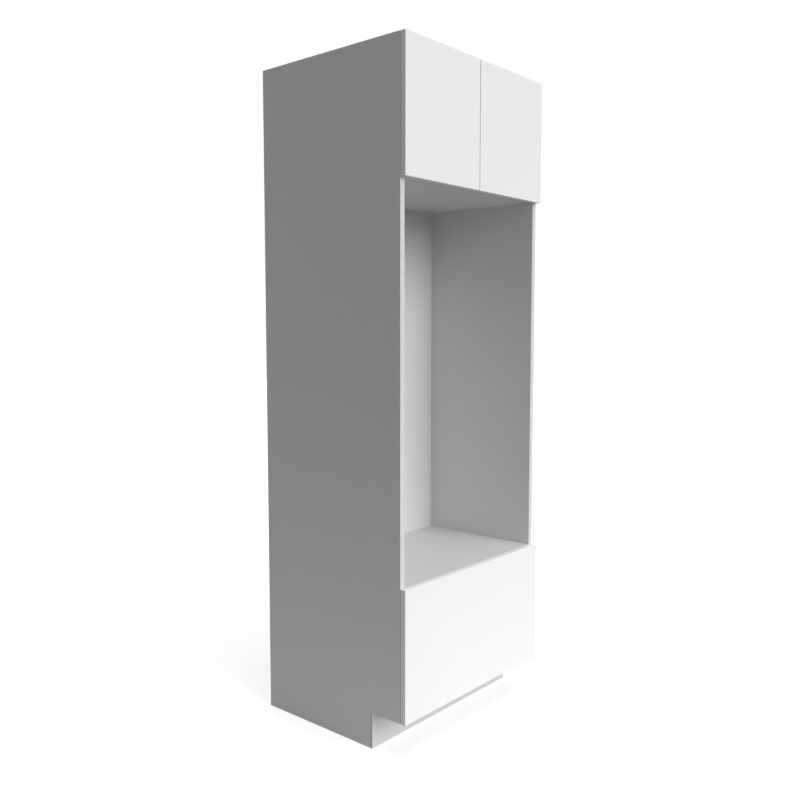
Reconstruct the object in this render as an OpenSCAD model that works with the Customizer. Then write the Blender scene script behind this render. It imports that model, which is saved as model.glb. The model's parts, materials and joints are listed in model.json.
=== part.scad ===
// Tall oven housing unit: a frameless white-board cabinet with an open oven cavity,
// a two-door cupboard above it and one deep drawer below it.
// Origin: the centre of the footprint, on the floor. +X is to the right seen from the
// front, +Y is towards the wall and +Z is up. Millimetres.

/* [Cabinet] */
// Width across the two side panels
overall_w = 724; // [600:1:900]
// Height from the floor to the top panel
overall_h = 2134; // [1900:1:2400]
// Depth of the carcass without its fronts
carcass_d = 590; // [530:1:620]
// Thickness of the carcass boards
board_t = 19; // [18:0.5:20]
// Thickness of the grooved-in backs
back_t = 6; // [4:1:8]
// Thickness of the edge banding on the carcass
band_t = 1; // [0.5:0.5:2]

/* [Levels] */
// Height of the toe space under the cabinet
kick_h = 114; // [90:1:150]
// Height of the drawer front
drawer_front_h = 414; // [360:1:480]
// Height of the oven cavity
cavity_h = 1206; // [600:1:1250]

/* [Toe kick] */
// How far the toe-kick board stands behind the carcass front
kick_setback = 114; // [60:1:140]
// Thickness of the toe-kick board
kick_board_t = 6; // [4:1:8]

/* [Fronts] */
// Thickness of the doors and the drawer front, with their edge bands
front_t = 18; // [18:0.5:22]
// Gap between the fronts and the carcass, held by the bumpers
front_gap = 1.5; // [1.5:0.5:3]
// Gap between the two doors
door_gap = 3; // [2:0.5:5]
// How far the doors hang below the cupboard floor
door_drop = 2; // [0:0.5:6]
// Thickness of the edge banding on the fronts
front_band_t = 1; // [0.5:0.5:2]

/* [Oven cavity] */
// How far the board behind the oven stands behind the carcass front
oven_back_setback = 448; // [400:1:500]
// Thickness of the board behind the oven
oven_back_t = 12; // [9:1:16]

/* [Drawer] */
// Height of the drawer box
box_h = 250; // [200:1:270]
// Thickness of the drawer box's sides, front and back
box_t = 15; // [12:1:16]
// Length of the drawer slides; a carcass too shallow for them gets the next shorter ones
slide_len = 550; // [450:10:550]
// Height of the slides' centre line above the bottom of the drawer box
slide_rise = 75; // [60:1:90]

/* [Hinges] */
// Distance from the top and bottom of a door to its hinges
hinge_inset = 80; // [70:1:110]
// Diameter of the hinge cups
cup_d = 35; // [35:1:35]
// Depth of the hinge cups in the doors
cup_depth = 12.5; // [12:0.5:12.5]
// Distance from a door's edge to the centre of its hinge cups
cup_inset = 22.5; // [22.5:0.5:22.5]
// Distance of the mounting plates' screws behind the carcass front
plate_setback = 37; // [37:1:37]

/* [Fixings] */
// Width of the nailers at the back
nailer_h = 100; // [80:1:120]
// Spacing of the wall-fixing holes in the top nailer
wall_hole_pitch = 406.4; // [300:0.1:500]
// Diameter of the wall-fixing holes
wall_hole_d = 5; // [4:0.5:8]

/* [Hidden] */

// Round features are true cylinders
$fn = 48;

// A cut runs this far past the surface it opens
cut = 1;

// Frame: the fronts' faces and the back edges are half the overall depth from the origin
overall_d = carcass_d + front_t + front_gap;
half_w = overall_w / 2;
half_inner_w = half_w - board_t;
y_front = -overall_d / 2;
y_front_back = y_front + front_t;
y_carcass = y_front_back + front_gap;
y_rear = overall_d / 2;
y_board = y_carcass + band_t;

// Levels of the horizontal boards' undersides
z_bottom = kick_h;
z_shelf = kick_h + drawer_front_h - board_t;
z_cavity = z_shelf + board_t;
z_ceiling = z_cavity + cavity_h;
z_top = overall_h - board_t;
z_door = z_ceiling - door_drop;
z_cupboard = z_ceiling + board_t;

// Backs run in grooves in the side panels, in front of the nailers
groove_depth = 6;
y_nailer = y_rear - board_t;
y_back = y_nailer - back_t;
y_oven_back = y_carcass + oven_back_setback;
y_cleat = y_oven_back + oven_back_t;

// The board behind the oven stands in grooves in the boards above and below it
oven_groove = 4;

// Toe space
y_kick = y_carcass + kick_setback;
y_kick_rail = y_kick + kick_board_t;

// Cleats, and how far their screws stay from their ends and from the board they hold
cleat_h = 38;
cleat_inset = 40;
shelf_screw_inset = 20;
back_cleat_screw_inset = 60;
oven_screw_inset = 190;
cleat_screw_offset = 11;

// Cam-and-bolt fittings and dowels
cam_d = 15;
cam_h = 14;
cam_backset = 24;
cam_slot_d = 7.2;
cam_recess_half_len = 4;
cam_recess_half_w = 0.8;
cam_recess_depth = 2;
bolt_bore_d = 8;
bolt_thread_d = 5;
bolt_thread_len = 11;
bolt_shank_d = 6;
bolt_neck_d = 4;
bolt_head_d = 6.6;
bolt_head_len = 4;
dowel_d = 8;
dowel_len = 30;
dowel_in_side = 12;
cam_inset = 60;
panel_dowel_inset = 92;
rail_dowel_inset = 20;
cam_ys = [y_carcass + cam_inset, y_rear - cam_inset];
panel_dowel_ys = [y_carcass + panel_dowel_inset, y_rear - panel_dowel_inset];
panel_zs = [z_bottom, z_shelf, z_ceiling, z_top];

// Rails and nailers: the middle of the thickness and the lower edge of each
rail_ys = [
    y_kick_rail + board_t / 2, y_nailer + board_t / 2, y_nailer + board_t / 2,
    y_nailer + board_t / 2, y_nailer + board_t / 2
];
rail_zs = [0, 0, z_shelf - nailer_h, z_ceiling - nailer_h, z_top - nailer_h];
rail_hs = [kick_h, kick_h, nailer_h, nailer_h, nailer_h];

// Wood screws
screw_d = 4;
screw_head_d = 8;
screw_head_len = 2.5;
cleat_screw_len = 30;
shelf_cleat_screws = 4;
back_cleat_screws = 5;
back_screw_len = 18;
back_screws_across = 5;
back_screw_inset = 40;

// Hinges: u runs in from a side panel's outer face, v back from the carcass front and
// w up from the hinge's centre. On a very low door the two stand closer to its ends.
hinge_spacing = 62;
hinge_end = min(hinge_inset, (overall_h - z_door - hinge_spacing) / 2);
hinge_zs = [z_door + hinge_end, overall_h - hinge_end];
cup_wall = 1;
flange_d = 39;
flange_t = 1;
flange_reach = 13.5;
flange_half_h = 29;
cup_screw_offset = 6;
cup_screw_w = 24;
cup_screw_d = 3.5;
cup_screw_head_d = 6.6;
cup_screw_len = 10;
plate_screw_w = 16;
plate_screw_head_d = 7;
plate_screw_head_len = 1.3;
plate_screw_len = 13;
plate_wing_t = 2.5;
plate_wing_half_d = 7;
plate_wing_end = 8;
plate_body_t = 7.5;
plate_body_front = 17;
plate_body_rear = 25;
plate_clearance = 0.2;
arm_half_w = 9.3;
arm_wall_t = 1.2;
arm_top_t = 1.4;
arm_rear = 29;
arm_bend_v = 14;
arm_nose_half_w = 2.4;
arm_nose_slope = 12;
arm_nose_corner = 1;
arm_nose_reach = 2.2;
arm_throat = 3;
arm_screw_setback = 15;
arm_screw_d = 5;
arm_screw_head_d = 8;
arm_screw_head_len = 2;
arm_screw_end_gap = 1;
hinge_pin_d = 2.5;
pin_clearance = 0.05;
link_clearance = 0.3;
outer_link_t = 1.2;
inner_link_half_w = 4;
link_t = 2.4;
arm_eye_d = 4.6;
cup_eye_d = 3.8;
rivet_run = 1;
inner_pin_run = 1.5;
// Each link's line from its pivot on the arm to its end in the cup, with the door shut
outer_arm_pivot = [33, -10.2];
outer_link_line = [outer_arm_pivot, [13, -10.7], [12.4, -7.8]];
inner_arm_pivot = [33, -4.5];
inner_link_line = [inner_arm_pivot, [28.5, -10], [14.3, -10.7], [10, -7.9]];

// Doors and fronts
door_w = half_w - door_gap / 2;
bumper_d = 10;
bumper_clearance = 0.1;
bumper_t = front_gap - bumper_clearance;
door_bumper_inset = 20;
drawer_bumper_inset = 30;

// Drawer slides: s runs in from a side panel's inner face and w up from the centre line
slide_step = 50;
slide_rear_gap = 5;
slide_room = carcass_d - board_t - back_t - slide_rear_gap;
slide_excess = max(0, slide_len - slide_room);
drawer_len = slide_len - slide_step * ceil(slide_excess / slide_step);
slide_t = 12.7;
slide_half_h = 22.75;
slide_wall = 1.2;
slide_setback = 3;
slide_run = drawer_len - slide_setback;
cabinet_member_depth = 10;
lip_depth = 0.8;
middle_end_gap = 5;
ball_d = 2.8;
ball_gap = 3;
ball_clearance = 0.1;
cage_t = 0.6;
cage_len = 240;
cage_rear = 160;
outer_ball_s = 6;
inner_ball_s = 7.5;
balls_in_row = 6;
middle_s = 2.2;
middle_depth = 8.3;
middle_half_h = slide_half_h - slide_wall - ball_gap;
inner_s = 4.4;
inner_half_h = middle_half_h - slide_wall - ball_gap;
outer_cage_s = 1.4;
outer_cage_depth = 7.4;
inner_cage_s = 3.6;
inner_cage_depth = 6.4;
slide_screws_per_member = 3;
slide_screw_inset = 40;
slide_screw_head_d = 6.4;
slide_screw_head_rise = 1;
cabinet_screw_head_len = 1.6;
slide_screw_len = 14;

// Drawer box
box_half_w = half_inner_w - slide_t;
y_box = y_front_back;
box_clearance = 25;
z_box = z_bottom + board_t + box_clearance;
box_bottom_t = 6;
box_bottom_rise = 12;
box_groove = 6;
slide_z = z_box + slide_rise;
box_screw_len = 40;
box_screw_inset = 35;
box_screw_drop = 110;
front_screw_len = 27;
front_screw_head_len = 2;
front_screw_inset = 162;
front_screw_rise = 60;

// ---- Shared shapes ----

// A box between two corners, given as a pair of limits along each axis
module block(x, y, z) {
    translate([x[0], y[0], z[0]])
        cube([x[1] - x[0], y[1] - y[0], z[1] - z[0]]);
}

// Cylinders that start at p and run along +X, +Y or +Z
module rod_x(p, d, len) {
    translate(p)
        rotate([0, 90, 0])
            cylinder(d = d, h = len);
}

module rod_y(p, d, len) {
    translate(p)
        rotate([-90, 0, 0])
            cylinder(d = d, h = len);
}

module rod_z(p, d, len) {
    translate(p)
        cylinder(d = d, h = len);
}

// The children on the left, or their mirror image on the right
module on_side(side) {
    mirror([side == "right" ? 1 : 0, 0, 0])
        children();
}

module both_sides() {
    on_side("left")
        children();
    on_side("right")
        children();
}

// A number of places spread evenly from one level to another
function spread(from, to, count) =
    [for (i = [0 : count - 1]) from + i * (to - from) / (count - 1)];

// A wood screw along +X or +Y: a flat head let in flush at p, then the shank
module screw_x(p, d, head_d, head_len, len) {
    rod_x(p, head_d, head_len);
    rod_x([p[0] + head_len, p[1], p[2]], d, len - head_len);
}

module screw_y(p, d, head_d, head_len, len) {
    rod_y(p, head_d, head_len);
    rod_y([p[0], p[1] + head_len, p[2]], d, len - head_len);
}

// ---- Where the fixings go; each pattern makes both the fixing and its hole ----

// Dowels between the left side panel and the ends of the boards and rails
module left_dowels() {
    for (z = panel_zs, y = panel_dowel_ys)
        rod_x([-half_inner_w - dowel_in_side, y, z + board_t / 2], dowel_d, dowel_len);
    for (i = [0 : len(rail_zs) - 1], rise = [rail_dowel_inset, rail_hs[i] - rail_dowel_inset])
        rod_x([-half_inner_w - dowel_in_side, rail_ys[i], rail_zs[i] + rise],
              dowel_d, dowel_len);
}

// Threads of the cam bolts, in the left side panel
module left_bolt_threads() {
    for (z = panel_zs, y = cam_ys)
        rod_x([-half_inner_w - bolt_thread_len, y, z + board_t / 2],
              bolt_thread_d, bolt_thread_len);
}

// Shanks, necks and heads of the cam bolts, in the ends of the boards
module left_bolt_shanks() {
    shank_len = cam_backset - cam_d / 2;
    neck_len = cam_backset - bolt_head_len / 2 - shank_len;
    for (z = panel_zs, y = cam_ys) {
        rod_x([-half_inner_w, y, z + board_t / 2], bolt_shank_d, shank_len);
        rod_x([-half_inner_w + shank_len, y, z + board_t / 2], bolt_neck_d, neck_len);
        rod_x([-half_inner_w + shank_len + neck_len, y, z + board_t / 2],
              bolt_head_d, bolt_head_len);
    }
}

// One cam pocket at the left end of a board whose underside is at z
module cam_pocket(y, z, from_top) {
    x = -half_inner_w + cam_backset;
    z_pocket = from_top ? z + board_t - cam_h : z;
    rod_z([x, y, z_pocket], cam_d, cam_h);
}

// A horizontal board between the side panels, with its cam pockets and dowel holes
module horizontal_board(z, cams_from_top) {
    difference() {
        block([-half_inner_w, half_inner_w], [y_board, y_rear], [z, z + board_t]);
        oven_back_board();
        both_sides() {
            for (y = cam_ys) {
                cam_pocket(y, z, cams_from_top);
                rod_x([-half_inner_w - cut, y, z + board_t / 2],
                      bolt_bore_d, cam_backset + cut);
            }
            for (y = panel_dowel_ys)
                rod_x([-half_inner_w - dowel_in_side, y, z + board_t / 2],
                      dowel_d, dowel_len);
        }
    }
}

// A rail or nailer between the side panels, with its dowel holes
module rail(i) {
    difference() {
        block([-half_inner_w, half_inner_w],
              [rail_ys[i] - board_t / 2, rail_ys[i] + board_t / 2],
              [rail_zs[i], rail_zs[i] + rail_hs[i]]);
        both_sides()
            left_dowels();
    }
}

// Screws that hold the left-hand cleats to the side panel
module left_cleat_screws() {
    x = -half_inner_w + board_t;
    y_first = y_carcass + cleat_inset + shelf_screw_inset;
    y_last = y_nailer - cleat_inset - shelf_screw_inset;
    z_first = z_cavity + back_cleat_screw_inset;
    z_last = z_ceiling - back_cleat_screw_inset;
    for (y = spread(y_first, y_last, shelf_cleat_screws))
        mirror([1, 0, 0])
            screw_x([-x, y, z_shelf - cleat_h / 2],
                    screw_d, screw_head_d, screw_head_len, cleat_screw_len);
    for (z = spread(z_first, z_last, back_cleat_screws))
        mirror([1, 0, 0])
            screw_x([-x, y_cleat + cleat_screw_offset, z],
                    screw_d, screw_head_d, screw_head_len, cleat_screw_len);
}

// Screws through the grooved-in backs into the nailers behind them
module nailer_screws() {
    x_last = half_inner_w - back_screw_inset;
    for (x = spread(-x_last, x_last, back_screws_across), z = [z_shelf, z_top])
        screw_y([x, y_back, z - nailer_h / 3],
                screw_d, screw_head_d, screw_head_len, back_screw_len);
}

// Screws from behind, through the left back cleat into the board behind the oven
module left_oven_back_screws() {
    z_first = z_cavity + oven_screw_inset;
    z_last = z_ceiling - oven_screw_inset;
    for (z = spread(z_first, z_last, back_cleat_screws - 1))
        mirror([0, 1, 0])
            screw_y([-half_inner_w + board_t / 2, -(y_cleat + cleat_h), z],
                    screw_d, screw_head_d, screw_head_len, cleat_h + oven_back_t / 2);
}

// Holes through the cupboard back and the top nailer for the wall screws
module wall_holes() {
    for (x = [-wall_hole_pitch / 2, wall_hole_pitch / 2])
        rod_y([x, y_back - cut, z_top - nailer_h / 2], wall_hole_d, board_t + back_t + 2 * cut);
}

// ---- Carcass ----

module side_panel() {
    profile = [
        [y_board, kick_h], [y_board, overall_h], [y_rear, overall_h],
        [y_rear, 0], [y_kick_rail, 0], [y_kick_rail, kick_h]
    ];
    difference() {
        translate([-half_w, 0, 0])
            rotate([90, 0, 90])
                linear_extrude(board_t)
                    polygon(profile);
        block([-half_inner_w - groove_depth, -half_inner_w + cut], [y_back, y_nailer],
              [-cut, overall_h + cut]);
        left_dowels();
        left_bolt_threads();
        left_cleat_screws();
        left_plate_screws();
        left_cabinet_member_screws();
    }
}

module left_side_panel() {
    color("white")
        side_panel();
}

module right_side_panel() {
    color("white")
        on_side("right")
            side_panel();
}

module top_panel() {
    color("white")
        horizontal_board(z_top, true);
}

module cupboard_floor() {
    color("white")
        horizontal_board(z_ceiling, true);
}

module oven_shelf() {
    color("white")
        horizontal_board(z_shelf, false);
}

module bottom_panel() {
    color("white")
        horizontal_board(z_bottom, false);
}

// A back that runs in the side panels' grooves, between two levels
module grooved_back(z) {
    x = half_inner_w + groove_depth;
    difference() {
        block([-x, x], [y_back, y_nailer], z);
        nailer_screws();
        wall_holes();
    }
}

module cupboard_back() {
    color("white")
        grooved_back([z_cupboard, z_top]);
}

module drawer_bay_back() {
    color("white")
        grooved_back([z_bottom + board_t, z_shelf]);
}

// The board behind the oven, which makes its own grooves in the boards it stands in
module oven_back_board() {
    block([-half_inner_w, half_inner_w], [y_oven_back, y_cleat],
          [z_cavity - oven_groove, z_ceiling + oven_groove]);
}

module oven_back() {
    color("white")
        difference() {
            oven_back_board();
            both_sides()
                left_oven_back_screws();
        }
}

module toe_kick_rail() {
    color("white")
        rail(0);
}

module rear_toe_rail() {
    color("white")
        rail(1);
}

module lower_nailer() {
    color("white")
        difference() {
            rail(2);
            nailer_screws();
        }
}

module middle_nailer() {
    color("white")
        rail(3);
}

module top_nailer() {
    color("white")
        difference() {
            rail(4);
            nailer_screws();
            wall_holes();
        }
}

module toe_kick_board() {
    color("white")
        block([-half_w, half_w], [y_kick, y_kick_rail], [0, kick_h]);
}

module shelf_cleat() {
    difference() {
        block([-half_inner_w, -half_inner_w + board_t],
              [y_carcass + cleat_inset, y_nailer - cleat_inset],
              [z_shelf - cleat_h, z_shelf]);
        left_cleat_screws();
    }
}

module left_shelf_cleat() {
    color("burlywood")
        shelf_cleat();
}

module right_shelf_cleat() {
    color("burlywood")
        on_side("right")
            shelf_cleat();
}

module back_cleat() {
    difference() {
        block([-half_inner_w, -half_inner_w + board_t], [y_cleat, y_cleat + cleat_h],
              [z_cavity, z_ceiling]);
        left_cleat_screws();
        left_oven_back_screws();
    }
}

module left_back_cleat() {
    color("burlywood")
        back_cleat();
}

module right_back_cleat() {
    color("burlywood")
        on_side("right")
            back_cleat();
}

module side_edge_bands() {
    color("whitesmoke")
        both_sides()
            block([-half_w, -half_inner_w], [y_carcass, y_board], [kick_h, overall_h]);
}

module shelf_edge_bands() {
    color("whitesmoke")
        for (z = panel_zs)
            block([-half_inner_w, half_inner_w], [y_carcass, y_board], [z, z + board_t]);
}

// ---- Carcass fixings ----

// One cam, with the slot that takes the bolt's head and a cross recess to turn it by
module cam_lock(y, z, from_top) {
    x = -half_inner_w + cam_backset;
    z_face = from_top ? z + board_t - cam_recess_depth : z;
    difference() {
        cam_pocket(y, z, from_top);
        rod_x([x - cam_d, y, z + board_t / 2], cam_slot_d, cam_d + bolt_head_len);
        for (half = [[cam_recess_half_len, cam_recess_half_w],
                     [cam_recess_half_w, cam_recess_half_len]])
            block([x - half[0], x + half[0]], [y - half[1], y + half[1]],
                  [z_face, z_face + cam_recess_depth]);
    }
}

module cam_locks() {
    color("silver")
        both_sides()
            for (y = cam_ys) {
                cam_lock(y, z_bottom, false);
                cam_lock(y, z_shelf, false);
                cam_lock(y, z_ceiling, true);
                cam_lock(y, z_top, true);
            }
}

module cam_bolts() {
    color("silver")
        both_sides() {
            left_bolt_threads();
            left_bolt_shanks();
        }
}

module dowels() {
    color("burlywood")
        both_sides()
            left_dowels();
}

module cleat_screws() {
    color("goldenrod")
        both_sides()
            left_cleat_screws();
}

module back_screws() {
    color("goldenrod") {
        nailer_screws();
        both_sides()
            left_oven_back_screws();
    }
}

// ---- Hinges ----

// The children at each of a side's two hinges, in the hinge's own u, v and w
module at_hinges(side) {
    on_side(side)
        for (z = hinge_zs)
            translate([-half_w, y_carcass, z])
                children();
}

module plate_screw(w) {
    mirror([1, 0, 0])
        screw_x([-(board_t + plate_wing_t), plate_setback, w],
                screw_d, plate_screw_head_d, plate_screw_head_len,
                plate_wing_t + plate_screw_len);
}

module left_plate_screws() {
    at_hinges("left")
        for (w = [-plate_screw_w, plate_screw_w])
            plate_screw(w);
}

// A cross-shaped plate: wings for the screws and a raised body for the arm
module hinge_plate() {
    wing_half_h = plate_screw_w + plate_wing_end;
    body_half_h = arm_half_w - arm_wall_t - plate_clearance;
    difference() {
        union() {
            block([board_t, board_t + plate_wing_t],
                  [plate_setback - plate_wing_half_d, plate_setback + plate_wing_half_d],
                  [-wing_half_h, wing_half_h]);
            block([board_t, board_t + plate_body_t],
                  [plate_setback - plate_body_front, plate_setback + plate_body_rear],
                  [-body_half_h, body_half_h]);
        }
        for (w = [-plate_screw_w, plate_screw_w])
            plate_screw(w);
        arm_screw();
    }
}

module hinge_plates() {
    color("silver") {
        at_hinges("left")
            hinge_plate();
        at_hinges("right")
            hinge_plate();
    }
}

module hinge_plate_screws() {
    color("silver")
        both_sides()
            left_plate_screws();
}

// The machine screw that clamps the arm onto its plate
module arm_screw() {
    u_head = board_t + plate_body_t + arm_top_t + arm_screw_head_len;
    v = plate_setback + arm_screw_setback;
    mirror([1, 0, 0])
        screw_x([-u_head, v, 0], arm_screw_d, arm_screw_head_d, arm_screw_head_len,
                u_head - board_t - arm_screw_end_gap);
}

module hinge_arm_screws() {
    color("silver") {
        at_hinges("left")
            arm_screw();
        at_hinges("right")
            arm_screw();
    }
}

// A plate in the u-v plane between two heights of w
module hinge_sheet(points, w) {
    translate([0, 0, w[0]])
        linear_extrude(w[1] - w[0])
            polygon(points);
}

// A folded channel that straddles the plate and reaches forward to the link pivots
module hinge_arm() {
    u_low = board_t + plate_wing_t + plate_clearance;
    u_top = board_t + plate_body_t;
    v_back = plate_setback + arm_rear;
    tip = outer_arm_pivot;
    nose = arm_nose_half_w;
    corner = nose - arm_nose_corner;
    v_nose = tip[1] - arm_nose_reach;
    wall = [
        [u_low, v_back], [u_top + arm_top_t, v_back], [u_top + arm_top_t, arm_bend_v],
        [tip[0] + nose, tip[1] + arm_nose_slope], [tip[0] + nose, v_nose + arm_nose_corner],
        [tip[0] + corner, v_nose], [tip[0] - corner, v_nose],
        [tip[0] - nose, v_nose + arm_nose_corner],
        [inner_arm_pivot[0] - arm_throat, inner_arm_pivot[1]], [u_low, arm_bend_v]
    ];
    difference() {
        union() {
            hinge_sheet(wall, [-arm_half_w, -arm_half_w + arm_wall_t]);
            hinge_sheet(wall, [arm_half_w - arm_wall_t, arm_half_w]);
            block([u_top, u_top + arm_top_t], [arm_bend_v, v_back], [-arm_half_w, arm_half_w]);
        }
        arm_pins();
        arm_screw();
    }
}

module hinge_arms() {
    color("silver") {
        at_hinges("left")
            hinge_arm();
        at_hinges("right")
            hinge_arm();
    }
}

// The inner link's pin runs right across the arm; the outer link turns on two short ones
module arm_pins() {
    stub = arm_wall_t + link_clearance + outer_link_t;
    rod_z([inner_arm_pivot[0], inner_arm_pivot[1], -arm_half_w], hinge_pin_d, 2 * arm_half_w);
    for (w = [-arm_half_w, arm_half_w - stub])
        rod_z([outer_arm_pivot[0], outer_arm_pivot[1], w], hinge_pin_d, stub);
}

module hinge_arm_pins() {
    color("dimgray") {
        at_hinges("left")
            arm_pins();
        at_hinges("right")
            arm_pins();
    }
}

// One bar of a link: a strip of metal between two points
module link_bar(from, to) {
    run = to - from;
    translate(from)
        rotate([0, 0, atan2(run[1], run[0])])
            translate([0, -link_t / 2])
                square([norm(run), link_t]);
}

// A bent link plate between two heights, turning on a pin at its arm end
module link_plate(line, w) {
    last = len(line) - 1;
    difference() {
        translate([0, 0, w[0]])
            linear_extrude(w[1] - w[0])
                union() {
                    for (i = [0 : last - 1])
                        link_bar(line[i], line[i + 1]);
                    for (i = [1 : last - 1])
                        translate(line[i])
                            circle(d = link_t);
                    translate(line[0])
                        circle(d = arm_eye_d);
                    translate(line[last])
                        circle(d = cup_eye_d);
                }
        rod_z([line[0][0], line[0][1], w[0] - cut],
              hinge_pin_d + 2 * pin_clearance, w[1] - w[0] + 2 * cut);
    }
}

// Two thin plates just inside the arm's walls, each riveted to a stub pin in the cup
module outer_link() {
    w_out = arm_half_w - arm_wall_t - link_clearance;
    w_in = w_out - outer_link_t;
    stub = outer_link_t + rivet_run;
    cup_end = outer_link_line[len(outer_link_line) - 1];
    for (side = [-1, 1]) {
        link_plate(outer_link_line, side > 0 ? [w_in, w_out] : [-w_out, -w_in]);
        rod_z([cup_end[0], cup_end[1], side > 0 ? w_in : -w_in - stub], hinge_pin_d, stub);
    }
}

// One wide link between them, riveted to a pin across the cup
module inner_link() {
    pin_half_w = inner_link_half_w + inner_pin_run;
    cup_end = inner_link_line[len(inner_link_line) - 1];
    link_plate(inner_link_line, [-inner_link_half_w, inner_link_half_w]);
    rod_z([cup_end[0], cup_end[1], -pin_half_w], hinge_pin_d, 2 * pin_half_w);
}

module left_outer_links() {
    color("silver")
        at_hinges("left")
            outer_link();
}

module right_outer_links() {
    color("silver")
        at_hinges("right")
            outer_link();
}

module left_inner_links() {
    color("silver")
        at_hinges("left")
            inner_link();
}

module right_inner_links() {
    color("silver")
        at_hinges("right")
            inner_link();
}

module cup_screw(w) {
    mirror([0, 1, 0])
        screw_y([cup_inset + cup_screw_offset, front_gap - flange_t, w],
                cup_screw_d, cup_screw_head_d, flange_t, cup_screw_len);
}

// The round body of a cup, sunk into the door's inner face
module cup_body(d, depth) {
    mirror([0, 1, 0])
        rod_y([cup_inset, front_gap, 0], d, depth);
}

module hinge_cup() {
    difference() {
        union() {
            cup_body(cup_d, cup_depth);
            block([cup_inset, cup_inset + flange_reach], [-front_gap, -front_gap + flange_t],
                  [-flange_half_h, flange_half_h]);
            rod_y([cup_inset, -front_gap, 0], flange_d, flange_t);
        }
        mirror([0, 1, 0])
            rod_y([cup_inset, front_gap - flange_t - cut, 0], cup_d - 2 * cup_wall,
                  flange_t + cut + cup_depth - cup_wall);
        for (w = [-cup_screw_w, cup_screw_w])
            cup_screw(w);
    }
}

module left_hinge_cups() {
    color("silver")
        at_hinges("left")
            hinge_cup();
}

module right_hinge_cups() {
    color("silver")
        at_hinges("right")
            hinge_cup();
}

module left_cup_screws() {
    color("silver")
        at_hinges("left")
            for (w = [-cup_screw_w, cup_screw_w])
                cup_screw(w);
}

module right_cup_screws() {
    color("silver")
        at_hinges("right")
            for (w = [-cup_screw_w, cup_screw_w])
                cup_screw(w);
}

// ---- Doors ----

module door() {
    b = front_band_t;
    difference() {
        block([-half_w + b, -half_w + door_w - b], [y_front, y_front_back],
              [z_door + b, overall_h - b]);
        at_hinges("left") {
            cup_body(cup_d, cup_depth);
            for (w = [-cup_screw_w, cup_screw_w])
                cup_screw(w);
        }
    }
}

// The strip glued round a front's four edges
module front_band(x, z) {
    b = front_band_t;
    difference() {
        block(x, [y_front, y_front_back], z);
        block([x[0] + b, x[1] - b], [y_front - cut, y_front_back + cut],
              [z[0] + b, z[1] - b]);
    }
}

// Soft discs on a door's inner face that meet the boards above and below the cupboard
module door_bumper_pair() {
    x = -door_gap / 2 - door_bumper_inset;
    for (z = [z_ceiling + board_t / 2, z_top + board_t / 2])
        rod_y([x, y_front_back, z], bumper_d, bumper_t);
}

module left_door() {
    color("white")
        door();
}

module right_door() {
    color("white")
        on_side("right")
            door();
}

module left_door_edge_band() {
    color("whitesmoke")
        front_band([-half_w, -half_w + door_w], [z_door, overall_h]);
}

module right_door_edge_band() {
    color("whitesmoke")
        on_side("right")
            front_band([-half_w, -half_w + door_w], [z_door, overall_h]);
}

module left_door_bumpers() {
    color("gainsboro")
        door_bumper_pair();
}

module right_door_bumpers() {
    color("gainsboro")
        on_side("right")
            door_bumper_pair();
}

// ---- Drawer ----

// Screws from inside the box into the drawer front
module front_screws() {
    x_screw = half_w - front_screw_inset;
    for (x = [-x_screw, x_screw], rise = [front_screw_rise, box_h - front_screw_rise])
        mirror([0, 1, 0])
            screw_y([x, -(y_box + box_t + front_screw_head_len), z_box + rise],
                    screw_d, screw_head_d, front_screw_head_len,
                    front_screw_len + front_screw_head_len);
}

// Screws through the left box side into the ends of the box front and back
module left_box_screws() {
    for (y = [y_box + box_t / 2, y_box + drawer_len - box_t / 2],
         rise = [box_screw_inset, box_h - box_screw_drop, box_h - box_screw_inset])
        screw_x([-box_half_w, y, z_box + rise], screw_d, screw_head_d, screw_head_len,
                box_screw_len);
}

module drawer_front() {
    b = front_band_t;
    color("white")
        difference() {
            block([-half_w + b, half_w - b], [y_front, y_front_back],
                  [z_bottom + b, z_cavity - b]);
            front_screws();
        }
}

module drawer_front_edge_band() {
    color("whitesmoke")
        front_band([-half_w, half_w], [z_bottom, z_cavity]);
}

// The bottom of the box, let into grooves all round
module box_bottom_sheet() {
    x = box_half_w - box_t + box_groove;
    block([-x, x], [y_box + box_t - box_groove, y_box + drawer_len - box_t + box_groove],
          [z_box + box_bottom_rise, z_box + box_bottom_rise + box_bottom_t]);
}

// The front or the back of the box, between its sides
module box_end(y) {
    difference() {
        block([-box_half_w + box_t, box_half_w - box_t], [y, y + box_t],
              [z_box, z_box + box_h]);
        box_bottom_sheet();
        front_screws();
        both_sides()
            left_box_screws();
    }
}

module box_side() {
    difference() {
        block([-box_half_w, -box_half_w + box_t], [y_box, y_box + drawer_len],
              [z_box, z_box + box_h]);
        box_bottom_sheet();
        left_box_screws();
        left_drawer_member_screws();
    }
}

module drawer_box_front() {
    color("white")
        box_end(y_box);
}

module drawer_box_back() {
    color("white")
        box_end(y_box + drawer_len - box_t);
}

module drawer_box_left_side() {
    color("white")
        box_side();
}

module drawer_box_right_side() {
    color("white")
        on_side("right")
            box_side();
}

module drawer_box_bottom() {
    color("white")
        box_bottom_sheet();
}

module drawer_screws() {
    color("goldenrod") {
        front_screws();
        both_sides() {
            left_box_screws();
            left_drawer_member_screws();
        }
    }
}

// Soft discs on the drawer front that meet the side panels' front edges
module drawer_bumpers() {
    color("gainsboro")
        both_sides()
            for (z = [z_bottom + drawer_bumper_inset, z_cavity - drawer_bumper_inset])
                rod_y([-half_w + board_t / 2, y_front_back, z], bumper_d, bumper_t);
}

// ---- Drawer slides ----

// The children at the left slide, in s, y and w
module at_left_slide() {
    translate([-half_inner_w, y_carcass + slide_setback, slide_z])
        children();
}

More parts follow.
